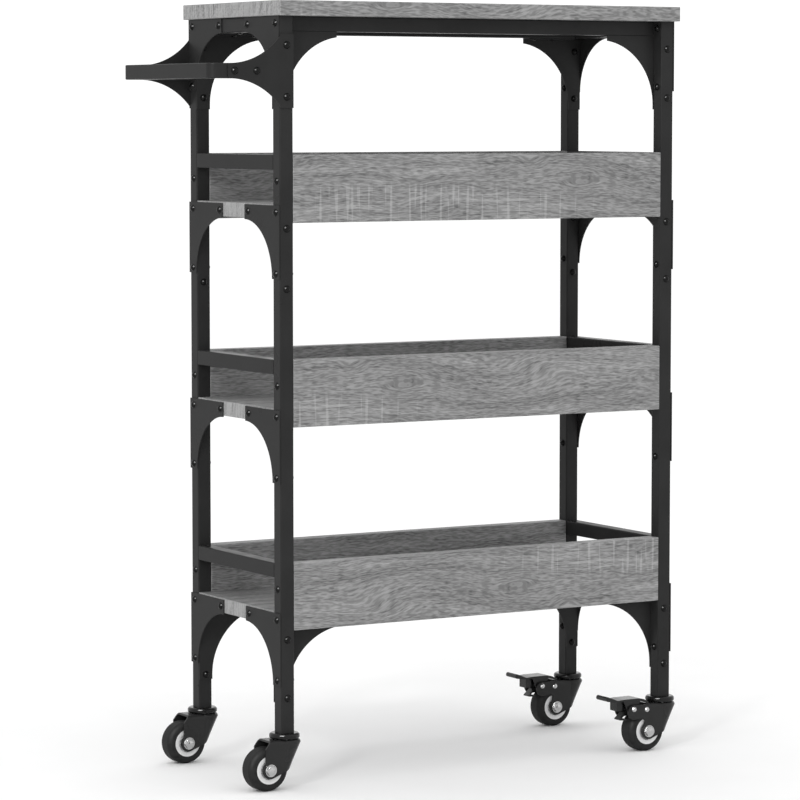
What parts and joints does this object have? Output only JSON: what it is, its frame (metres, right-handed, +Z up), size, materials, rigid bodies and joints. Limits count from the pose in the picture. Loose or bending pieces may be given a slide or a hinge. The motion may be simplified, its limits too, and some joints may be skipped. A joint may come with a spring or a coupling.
{
  "type": "rolling kitchen cart",
  "caption": "Slim rolling kitchen cart: black square-tube frame, grey oak-look top, stacked shallow trays, side push handle, swivel casters with brakes at one end.",
  "frame": {"origin": "on the floor, under the centre of the whole cart including its handle", "axes": "+X along the length away from the handle, +Y to the back, +Z up"},
  "size_m": [0.556, 0.2144, 0.7866],
  "materials": {
    "board_oak": "grey oak-look melamine on particle board, matt",
    "dowel_beech": "raw wood",
    "frame_black": "black powder coat, semi-gloss",
    "bolt_black": "black, smooth",
    "plain_steel": "zinc plated",
    "insert_plastic": "moulded",
    "fork_black": "black, semi-gloss",
    "cup_black": "black, glossy",
    "pedal_black": "black, glossy",
    "bright_steel": "polished",
    "tyre": "matt",
    "rim_plastic": "satin"
  },
  "bodies": {
    "root": {"caster_cups": "cup_black", "caster_stems": "plain_steel", "end_bolts": "bolt_black", "end_gussets_left": "frame_black", "end_gussets_right": "frame_black", "foot_inserts": "insert_plastic", "handle_brackets": "frame_black", "handle_tube": "frame_black", "post_front_left_lower": "frame_black", "post_front_left_upper": "frame_black", "post_front_right_lower": "frame_black", "post_front_right_upper": "frame_black", "post_rear_left_lower": "frame_black", "post_rear_left_upper": "frame_black", "post_rear_right_lower": "frame_black", "post_rear_right_upper": "frame_black", "post_splice_sleeves": "plain_steel", "side_bolts": "bolt_black", "side_gussets_foot": "frame_black", "side_gussets_top": "frame_black", "swivel_balls": "plain_steel", "top_board": "board_oak", "top_rail_front": "frame_black", "top_rail_left": "frame_black", "top_rail_rear": "frame_black", "top_rail_right": "frame_black", "tray_1_front_board": "board_oak", "tray_1_panel": "board_oak", "tray_1_rear_board": "board_oak", "tray_2_front_board": "board_oak", "tray_2_panel": "board_oak", "tray_2_rear_board": "board_oak", "tray_3_front_board": "board_oak", "tray_3_panel": "board_oak", "tray_3_rear_board": "board_oak", "tray_dowels": "dowel_beech", "tray_end_rails_left": "frame_black", "tray_end_rails_right": "frame_black", "tray_screws": "bolt_black", "wood_screws": "bolt_black"},
    "caster_front_left": {"fork_front_left": "fork_black", "axle_front_left": "bright_steel"},
    "wheel_front_left": {"tyre_front_left": "tyre", "rim_front_left": "rim_plastic"},
    "caster_front_right": {"fork_front_right": "fork_black", "axle_front_right": "bright_steel", "brake_pins_front_right": "bright_steel"},
    "wheel_front_right": {"tyre_front_right": "tyre", "rim_front_right": "rim_plastic"},
    "brake_front_right": {"brake_pedal_front_right": "pedal_black"},
    "caster_rear_left": {"fork_rear_left": "fork_black", "axle_rear_left": "bright_steel"},
    "wheel_rear_left": {"tyre_rear_left": "tyre", "rim_rear_left": "rim_plastic"},
    "caster_rear_right": {"fork_rear_right": "fork_black", "axle_rear_right": "bright_steel", "brake_pins_rear_right": "bright_steel"},
    "wheel_rear_right": {"tyre_rear_right": "tyre", "rim_rear_right": "rim_plastic"},
    "brake_rear_right": {"brake_pedal_rear_right": "pedal_black"}
  },
  "joints": [
    {"name": "swivel_front_left", "type": "hinge", "parent": "root", "child": "caster_front_left", "pos_m": [-0.1935, -0.09, 0.05], "axis": [0, 0, 1], "continuous": true},
    {"name": "wheel_spin_front_left", "type": "hinge", "parent": "caster_front_left", "child": "wheel_front_left", "pos_m": [-0.216, -0.09, 0.022], "axis": [0, 1, 0], "continuous": true},
    {"name": "swivel_front_right", "type": "hinge", "parent": "root", "child": "caster_front_right", "pos_m": [0.2615, -0.09, 0.05], "axis": [0, 0, 1], "continuous": true},
    {"name": "wheel_spin_front_right", "type": "hinge", "parent": "caster_front_right", "child": "wheel_front_right", "pos_m": [0.239, -0.09, 0.022], "axis": [0, 1, 0], "continuous": true},
    {"name": "brake_front_right", "type": "hinge", "parent": "caster_front_right", "child": "brake_front_right", "pos_m": [0.2205, -0.09, 0.0466], "axis": [0, -1, 0], "range_deg": [0, 12]},
    {"name": "swivel_rear_left", "type": "hinge", "parent": "root", "child": "caster_rear_left", "pos_m": [-0.1935, 0.09, 0.05], "axis": [0, 0, 1], "continuous": true},
    {"name": "wheel_spin_rear_left", "type": "hinge", "parent": "caster_rear_left", "child": "wheel_rear_left", "pos_m": [-0.216, 0.09, 0.022], "axis": [0, 1, 0], "continuous": true},
    {"name": "swivel_rear_right", "type": "hinge", "parent": "root", "child": "caster_rear_right", "pos_m": [0.2615, 0.09, 0.05], "axis": [0, 0, 1], "continuous": true},
    {"name": "wheel_spin_rear_right", "type": "hinge", "parent": "caster_rear_right", "child": "wheel_rear_right", "pos_m": [0.239, 0.09, 0.022], "axis": [0, 1, 0], "continuous": true},
    {"name": "brake_rear_right", "type": "hinge", "parent": "caster_rear_right", "child": "brake_rear_right", "pos_m": [0.2205, 0.09, 0.0466], "axis": [0, -1, 0], "range_deg": [0, 12]}
  ]
}
